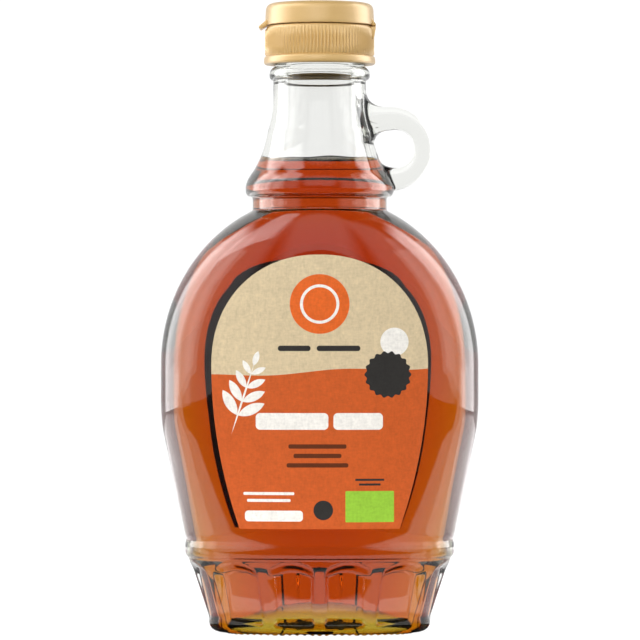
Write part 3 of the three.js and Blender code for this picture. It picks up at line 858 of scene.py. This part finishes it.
def glass_material():
    """Clear glass with a faint ripple, grey-green where it is thick."""
    material, tree, shader = clear_material("clear_glass", GLASS_IOR, GLASS_TINT, GLASS_DENSITY)
    ripple = noise(tree, object_place(tree), GLASS_RIPPLE_SCALE, detail=1.0)
    bump(tree, shader, ripple, GLASS_RIPPLE, GLASS_RIPPLE_DEPTH)
    return material


def syrup_material():
    """Clear syrup, golden where it is thin and red-brown where it is deep."""
    material, tree, shader = clear_material("amber_syrup", SYRUP_IOR, SYRUP_TINT, SYRUP_DENSITY)
    put(tree, shader.inputs["Specular IOR Level"], SYRUP_SPECULAR)
    return material


def gold_material():
    """Satin plastic with a fine pearl and the faint flow lines of its moulding."""
    material, tree, shader = new_material("gold_plastic")
    place = object_place(tree)
    pearl = noise(tree, place, GOLD_PEARL_SCALE)
    flow = noise(tree, place, GOLD_FLOW_SCALE, stretch=GOLD_FLOW_STRETCH)
    fine = calc(tree, "MULTIPLY", pearl, GOLD_PEARL_SHARE)
    coarse = calc(tree, "MULTIPLY", flow, 1 - GOLD_PEARL_SHARE)
    shade = calc(tree, "ADD", fine, coarse)
    rougher = calc(tree, "MULTIPLY", pearl, GOLD_PEARL_ROUGHNESS)
    fill(tree, shader, {
        "Base Color": mix_colour(tree, GOLD_DARK, GOLD_LIGHT, shade),
        "Metallic": GOLD_METALLIC,
        "Specular IOR Level": GOLD_SPECULAR,
        "Roughness": calc(tree, "ADD", GOLD_ROUGHNESS, rougher),
    })
    bump(tree, shader, pearl, GOLD_PEARL_BUMP, GOLD_PEARL_DEPTH)
    return material


# Print

KRAFT, ORANGE, BRIGHT = linear(217, 197, 160), linear(203, 92, 38), linear(228, 104, 38)
INK, WHITE = linear(48, 46, 44), linear(246, 242, 234)
BROWN, GREEN = linear(96, 46, 20), linear(152, 200, 62)

# The orange field ends in a wavy line.
FRONT_WAVE = {"height": 73.4, "slope": 0.04, "swing": 0.5, "pace": 0.16, "shift": 0.6}
BACK_WAVE = {"height": 46.0, "slope": 0.0, "swing": 0.6, "pace": 0.16, "shift": 0.0}

# Marks from the lowest layer up, in millimetres: a disc has its middle, radius, lobes and their depth,
# and a bar its middle, width, height and corner radius.
FRONT_MARKS = (
    ("disc", BRIGHT, 0.0, 92.0, 8.2),
    ("disc", WHITE, 0.0, 92.0, 5.4),
    ("disc", BRIGHT, 0.0, 92.0, 4.6),
    ("bar", INK, -7.0, 79.8, 9.0, 1.5, 0.7),
    ("bar", INK, 5.2, 79.8, 12.0, 1.5, 0.7),
    ("disc", WHITE, 20.6, 81.6, 3.9),
    ("disc", INK, 18.8, 72.6, 6.2, 18, 0.28),
    ("bar", WHITE, -7.6, 59.7, 20.0, 4.6, 1.2),
    ("bar", WHITE, 10.6, 59.7, 13.6, 4.6, 1.2),
    ("bar", BROWN, -0.6, 52.8, 16.0, 1.2, 0.5),
    ("bar", BROWN, -0.6, 50.2, 13.2, 1.2, 0.5),
    ("bar", BROWN, -0.6, 47.6, 17.0, 1.2, 0.5),
    ("bar", WHITE, -14.0, 39.8, 14.0, 0.8, 0.3),
    ("bar", WHITE, -14.0, 37.9, 12.0, 0.8, 0.3),
    ("bar", WHITE, -12.6, 33.6, 16.0, 3.0, 1.0),
    ("disc", INK, 1.0, 35.2, 2.7),
    ("bar", GREEN, 13.8, 36.2, 13.4, 8.6, 0.3),
    ("bar", INK, 13.8, 43.6, 8.0, 0.6, 0.2),
    ("bar", INK, 13.8, 42.3, 6.0, 0.6, 0.2),
)
BACK_MARKS = (
    ("bar", WHITE, 0.0, 70.0, 44.0, 36.0, 2.0),
    ("bar", INK, 0.0, 95.0, 24.0, 2.4, 0.8),
    ("bar", WHITE, 0.0, 38.0, 26.0, 9.0, 0.8),
)

# A sprig: foot, height, lean and pairs of leaves; each pair is smaller than the one below it.
SPRIG_FOOT, SPRIG_HEIGHT, SPRIG_LEAN = Vector((-24.2, 56.5)), 20.0, math.radians(72)
SPRIG_PAIRS, FIRST_PAIR, PAIR_STEP, STEM_WIDTH = 4, 0.25, 0.2, 0.55
LEAF_LENGTH, LEAF_SHRINK, LEAF_SPREAD = 8.0, 1.2, math.radians(48)
LEAF_REACH, LEAF_SLIMNESS = 0.52, 0.36
TIP_AHEAD, TIP_LENGTH, TIP_WIDTH = 1.6, 4.2, 1.7

# Lines and stripes of the back label
LINES, LINE_TOP, LINE_STEP = 10, 84.0, 3.1
LINE_WIDTH, LINE_SHORTER, LINE_HEIGHT, LINE_CORNER = 36.0, 5.0, 1.1, 0.4
STRIPES, STRIPE_LEFT, STRIPE_STEP, STRIPE_MIDDLE = 12, -10.0, 1.8, 38.0
STRIPE_WIDTH, STRIPE_WIDER, STRIPE_HEIGHT, STRIPE_CORNER = 0.5, 0.35, 7.0, 0.1


class Print:
    """The printed layers of a label, laid one over the other."""

    def __init__(self, tree):
        self.tree = tree
        self.place = object_place(tree)
        split = tree.nodes.new("ShaderNodeSeparateXYZ")
        tree.links.new(self.place, split.inputs["Vector"])
        self.x = calc(tree, "DIVIDE", split.outputs["X"], MM)
        self.z = calc(tree, "DIVIDE", split.outputs["Z"], MM)
        self.colour = KRAFT

    def lay(self, colour, mask):
        self.colour = mix_colour(self.tree, self.colour, colour, mask)

    def disc(self, x, z, radius, lobes=0, depth=0.0):
        return use_group(self.tree, DISC, x=self.x, z=self.z, centre_x=x, centre_z=z,
                         radius=radius, lobes=lobes, lobe_depth=depth)["Mask"]

    def bar(self, x, z, width, height, corner):
        return use_group(self.tree, BAR, x=self.x, z=self.z, centre_x=x, centre_z=z,
                         half_width=width / 2, half_height=height / 2, corner=corner)["Mask"]

    def leaf(self, x, z, turn, length, width):
        return use_group(self.tree, LEAF, x=self.x, z=self.z, centre_x=x, centre_z=z,
                         turn=turn, half_length=length / 2, half_width=width / 2)["Mask"]

    def mark(self, kind, colour, *sizes):
        shape = {"disc": self.disc, "bar": self.bar}[kind]
        self.lay(colour, shape(*sizes))

    def below_wave(self, height, slope, swing, pace, shift):
        """The field below a wavy line."""
        tree = self.tree
        wave = calc(tree, "SINE", calc(tree, "ADD", calc(tree, "MULTIPLY", self.x, pace), shift))
        line = calc(tree, "ADD", height, calc(tree, "MULTIPLY", wave, swing))
        line = calc(tree, "ADD", line, calc(tree, "MULTIPLY", self.x, slope))
        return inside_edge(tree, calc(tree, "SUBTRACT", self.z, line))

    def finish(self, shader, roughness):
        """Adds the paper's grain to the colour and to the surface."""
        tree = self.tree
        grain = use_group(tree, PAPER, vector=self.place)["Grain"]
        shade = calc(tree, "MULTIPLY", calc(tree, "SUBTRACT", grain, 0.5), GRAIN_CONTRAST)
        node = tree.nodes.new("ShaderNodeHueSaturation")
        fill(tree, node, {"Color": self.colour, "Value": calc(tree, "ADD", 1.0, shade)})
        uneven = calc(tree, "MULTIPLY", shade, GRAIN_ROUGHNESS)
        fill(tree, shader, {
            "Base Color": node.outputs["Color"],
            "Roughness": calc(tree, "ADD", roughness, uneven),
            "Specular IOR Level": PAPER_SPECULAR,
        })
        bump(tree, shader, grain, GRAIN_BUMP, GRAIN_DEPTH)


def lay_sprig(ink, colour):
    """A stem with pairs of pointed leaves and one leaf at its tip."""
    along = Vector((math.cos(SPRIG_LEAN), math.sin(SPRIG_LEAN)))
    middle = SPRIG_FOOT + along * SPRIG_HEIGHT * 0.5
    ink.lay(colour, ink.leaf(middle.x, middle.y, SPRIG_LEAN, SPRIG_HEIGHT, STEM_WIDTH))
    for i in range(SPRIG_PAIRS):
        joint = SPRIG_FOOT + along * SPRIG_HEIGHT * (FIRST_PAIR + PAIR_STEP * i)
        leaf_length = LEAF_LENGTH - LEAF_SHRINK * i
        for side in (-1, 1):
            turn = SPRIG_LEAN + side * LEAF_SPREAD
            centre = joint + Vector((math.cos(turn), math.sin(turn))) * leaf_length * LEAF_REACH
            ink.lay(colour, ink.leaf(centre.x, centre.y, turn, leaf_length, leaf_length * LEAF_SLIMNESS))
    tip = SPRIG_FOOT + along * (SPRIG_HEIGHT + TIP_AHEAD)
    ink.lay(colour, ink.leaf(tip.x, tip.y, SPRIG_LEAN, TIP_LENGTH, TIP_WIDTH))


def front_label_material():
    """Kraft over orange, with a sun disc, bars, a lobed seal and a sprig."""
    material, tree, shader = new_material("front_paper")
    ink = Print(tree)
    ink.lay(ORANGE, ink.below_wave(**FRONT_WAVE))
    for mark in FRONT_MARKS:
        ink.mark(*mark)
    lay_sprig(ink, WHITE)
    ink.finish(shader, FRONT_ROUGHNESS)
    return material


def back_label_material():
    """Kraft over orange, with lines and stripes on pale panels."""
    material, tree, shader = new_material("back_paper")
    ink = Print(tree)
    ink.lay(ORANGE, ink.below_wave(**BACK_WAVE))
    for mark in BACK_MARKS:
        ink.mark(*mark)
    for i in range(LINES):
        width = LINE_WIDTH - LINE_SHORTER * (i % 3)
        x, z = (width - LINE_WIDTH) / 2, LINE_TOP - LINE_STEP * i
        ink.mark("bar", BROWN, x, z, width, LINE_HEIGHT, LINE_CORNER)
    for i in range(STRIPES):
        width = STRIPE_WIDTH + STRIPE_WIDER * (i % 3)
        x, z = STRIPE_LEFT + STRIPE_STEP * i, STRIPE_MIDDLE
        ink.mark("bar", INK, x, z, width, STRIPE_HEIGHT, STRIPE_CORNER)
    ink.finish(shader, BACK_ROUGHNESS)
    return material


# The pieces

# Edges that turn by more degrees than this stay crisp.
PAPER_SHARP, CAP_SHARP = 40, 50


def build_bottle():
    front, back, gold = front_label_material(), back_label_material(), gold_material()
    make_piece(glass_mesh(), "bottle_glass", glass_material(), "glass_bottle")
    make_piece(syrup_mesh(), "syrup_filling", syrup_material(), "syrup")
    make_piece(label_mesh(FRONT_LABEL, -1), "label_front", front, "front_label", PAPER_SHARP)
    make_piece(label_mesh(BACK_LABEL, 1), "label_back", back, "back_label", PAPER_SHARP)
    make_piece(cap_ring_mesh(), "cap_gripped_ring", gold, "cap_ring", CAP_SHARP)
    make_piece(cap_lid_mesh(), "cap_flip_lid", gold, "cap_lid", CAP_SHARP)


# Studio

CAMERA_DISTANCE, CAMERA_HEIGHT, CAMERA_ASIDE = 1.2, 0.0876, 0.0001
FRAME_WIDTH = 0.1792
SENSOR, CLIP_END = 36.0, 20
LIGHT_MIDDLE = 0.08
SOFT_EDGE = 0.25
WORLD_GLOW, SHEET_ROUGHNESS = 0.06, 0.9
FLOOR_HALF, FLOOR_TONE = 4, 0.06
FLOOR_GLOW, FLOOR_GLOW_FRONT, FLOOR_GLOW_EDGE = 1.1, -0.068, 0.004
# Painted contact shadow: an oval under the bottle where the floor has no glow; its half length, half width
# and soft edge
PAINTED_SHADOW_HALF_X, PAINTED_SHADOW_HALF_Y, PAINTED_SHADOW_EDGE = 0.042, 0.026, 0.12
BACKDROP_HALF, BACKDROP_FAR, BACKDROP_TOP = 1.6, 1.7, 3.2
BACKDROP_TONE, BACKDROP_GLOW = 0.1, 0.96
# Each wing at the sides has two parts, from near to far, with a dark gap between them.
WINGS, WING_TOP, WING_GLOW = ((-0.8, 0.1), (0.5, 1.7)), 1.6, 0.85
# Softboxes: name, azimuth from the camera towards +X, span, lowest and highest elevation in degrees,
# distance in metres and radiance
SOFTBOXES = (
    ("softbox_left", -105, 50, -5, 52, 0.8, 5.6),
    ("softbox_left_fill", -55, 54, -5, 55, 1.0, 0.85),
    ("softbox_right", 105, 50, -5, 52, 0.8, 5.6),
    ("softbox_right_fill", 55, 54, -5, 55, 1.0, 0.85),
    ("softbox_left_edge", -78, 30, -5, 50, 0.9, 1.0),
    ("softbox_left_high", -65, 60, 36, 66, 0.9, 3.4),
)
# Panels: width, height and radiance
REFLECTOR_X, REFLECTOR_Y, REFLECTOR_Z = 0.42, 0.24, 0.002
REFLECTOR = 0.7, 0.5, 2.0
FRONT_PLACE, FRONT_PANEL = (0.0, -0.85, 0.75), (1.2, 1.1, 1.0)
KEY_PLACE, KEY_PANEL = (-0.25, -1.1, 0.6), (1.2, 1.0, 5.3)
BOTTLE_MIDDLE = (0, 0, 0.09)


def add_camera():
    data = bpy.data.cameras.new("camera")
    data.sensor_width = SENSOR
    data.lens = SENSOR * CAMERA_DISTANCE / FRAME_WIDTH
    data.clip_end = CLIP_END
    camera = bpy.data.objects.new("camera", data)
    camera.location = (CAMERA_ASIDE, -CAMERA_DISTANCE, CAMERA_HEIGHT)
    camera.rotation_euler = (math.pi / 2, 0, 0)
    bpy.context.scene.collection.objects.link(camera)
    bpy.context.scene.camera = camera


def add_light(name, width, height, radiance):
    """A light panel that fades out towards its sides and its top."""
    data = bpy.data.lights.new(name, "AREA")
    data.shape = "RECTANGLE"
    data.size, data.size_y = width, height
    data.energy = radiance * math.pi * width * height
    data.use_nodes = True
    tree = data.node_tree
    split = tree.nodes.new("ShaderNodeSeparateXYZ")
    tree.links.new(tree.nodes.new("ShaderNodeNewGeometry").outputs["Parametric"], split.inputs["Vector"])
    from_side = calc(tree, "PINGPONG", split.outputs["X"], 0.5)
    from_top = calc(tree, "SUBTRACT", 1.0, split.outputs["Y"])
    edges = [soft_step(tree, inward, 0.0, SOFT_EDGE) for inward in (from_side, from_top)]
    put(tree, tree.nodes["Emission"].inputs["Strength"], calc(tree, "MULTIPLY", *edges))
    light = bpy.data.objects.new(name, data)
    light.visible_camera = False
    light.visible_transmission = False
    bpy.context.scene.collection.objects.link(light)
    return light


def add_softbox(name, azimuth, span, low, high, distance, radiance):
    """An upright panel that faces the bottle and is seen in the glass and the cap only."""
    width = 2 * distance * math.tan(math.radians(span / 2))
    bottom, top = (distance * math.tan(math.radians(turn)) for turn in (low, high))
    turn = math.radians(azimuth)
    box = add_light(name, width, top - bottom, radiance)
    box.location = (distance * math.sin(turn), -distance * math.cos(turn), LIGHT_MIDDLE + (bottom + top) / 2)
    box.rotation_euler = (math.pi / 2, 0, turn)
    box.visible_diffuse = False


def add_panel(name, place, target, width, height, radiance):
    """A panel that looks from its place to a target."""
    panel = add_light(name, width, height, radiance)
    panel.location = place
    panel.rotation_euler = (Vector(target) - Vector(place)).to_track_quat("-Z", "Y").to_euler()
    return panel


def white_material(name, tone):
    """A matt sheet that still needs its glow."""
    material, tree, shader = new_material(name)
    fill(tree, shader, {
        "Base Color": (tone, tone, tone, 1),
        "Roughness": SHEET_ROUGHNESS,
        "Specular IOR Level": 0.0,
        "Emission Color": (1, 1, 1, 1),
    })
    return material, tree, shader


def set_glow(tree, socket, glow):
    """Plain white for the camera, and a glow of its own for the bottle."""
    seen = tree.nodes.new("ShaderNodeLightPath").outputs["Is Camera Ray"]
    put(tree, socket, calc(tree, "MAXIMUM", glow, seen))


def floor_material():
    """The floor glows from just before the bottle on; under it, an oval without glow is a painted contact
    shadow.
    """
    material, tree, shader = white_material("pale_floor", FLOOR_TONE)
    split = tree.nodes.new("ShaderNodeSeparateXYZ")
    tree.links.new(object_place(tree), split.inputs["Vector"])
    x, y = split.outputs["X"], split.outputs["Y"]
    lit = inside_edge(tree, calc(tree, "SUBTRACT", FLOOR_GLOW_FRONT, y), FLOOR_GLOW_EDGE)
    sides = calc(tree, "DIVIDE", x, PAINTED_SHADOW_HALF_X), calc(tree, "DIVIDE", y, PAINTED_SHADOW_HALF_Y)
    # 1 outside the oval of painted contact shadow under the bottle
    free = inside_edge(tree, calc(tree, "SUBTRACT", 1.0, hypotenuse(tree, *sides)), PAINTED_SHADOW_EDGE)
    glow = calc(tree, "MULTIPLY", calc(tree, "MULTIPLY", lit, free), FLOOR_GLOW)
    set_glow(tree, shader.inputs["Emission Strength"], glow)
    return material


def backdrop_material(name, glow):
    material, tree, shader = white_material(name, BACKDROP_TONE)
    set_glow(tree, shader.inputs["Emission Strength"], glow)
    return material


def add_sheet(name, corners, material):
    bm = bmesh.new()
    bm.faces.new([bm.verts.new(corner) for corner in corners])
    mesh = bpy.data.meshes.new(name)
    bm.to_mesh(mesh)
    bm.free()
    mesh.materials.append(material)
    sheet = bpy.data.objects.new(name, mesh)
    bpy.context.scene.collection.objects.link(sheet)


def add_world():
    world = bpy.data.worlds.new("studio")
    world.use_nodes = True
    tree = world.node_tree
    background = tree.nodes["Background"]
    put(tree, background.inputs["Color"], (1, 1, 1, 1))
    set_glow(tree, background.inputs["Strength"], WORLD_GLOW)
    bpy.context.scene.world = world


def add_wall(name, start, end, top, material):
    """An upright sheet from one place on the floor to another."""
    add_sheet(name, [(*start, 0), (*end, 0), (*end, top), (*start, top)], material)


def add_backdrops():
    backdrop = backdrop_material("pale_backdrop", BACKDROP_GLOW)
    wing = backdrop_material("pale_wing", WING_GLOW)
    left, right = -BACKDROP_HALF, BACKDROP_HALF
    add_wall("backdrop", (left, BACKDROP_FAR), (right, BACKDROP_FAR), BACKDROP_TOP, backdrop)
    for x in (left, right):
        for near, far in WINGS:
            add_wall("backdrop_wing", (x, far), (x, near), WING_TOP, wing)


def build_studio():
    add_camera()
    add_world()
    corners = [(FLOOR_HALF * x, FLOOR_HALF * y, 0) for x, y in ((-1, -1), (1, -1), (1, 1), (-1, 1))]
    add_sheet("floor", corners, floor_material())
    add_backdrops()
    for softbox in SOFTBOXES:
        add_softbox(*softbox)
    for x in (-REFLECTOR_X, REFLECTOR_X):
        place, target = (x, REFLECTOR_Y, REFLECTOR_Z), (x, REFLECTOR_Y, 1)
        reflector = add_panel("floor_reflector", place, target, *REFLECTOR)
        reflector.visible_diffuse = False
    add_panel("softbox_front", FRONT_PLACE, BOTTLE_MIDDLE, *FRONT_PANEL)
    key = add_panel("softbox_key", KEY_PLACE, BOTTLE_MIDDLE, *KEY_PANEL)
    key.visible_glossy = False
    bpy.context.scene.view_settings.view_transform = "Standard"


build_bottle()
build_studio()
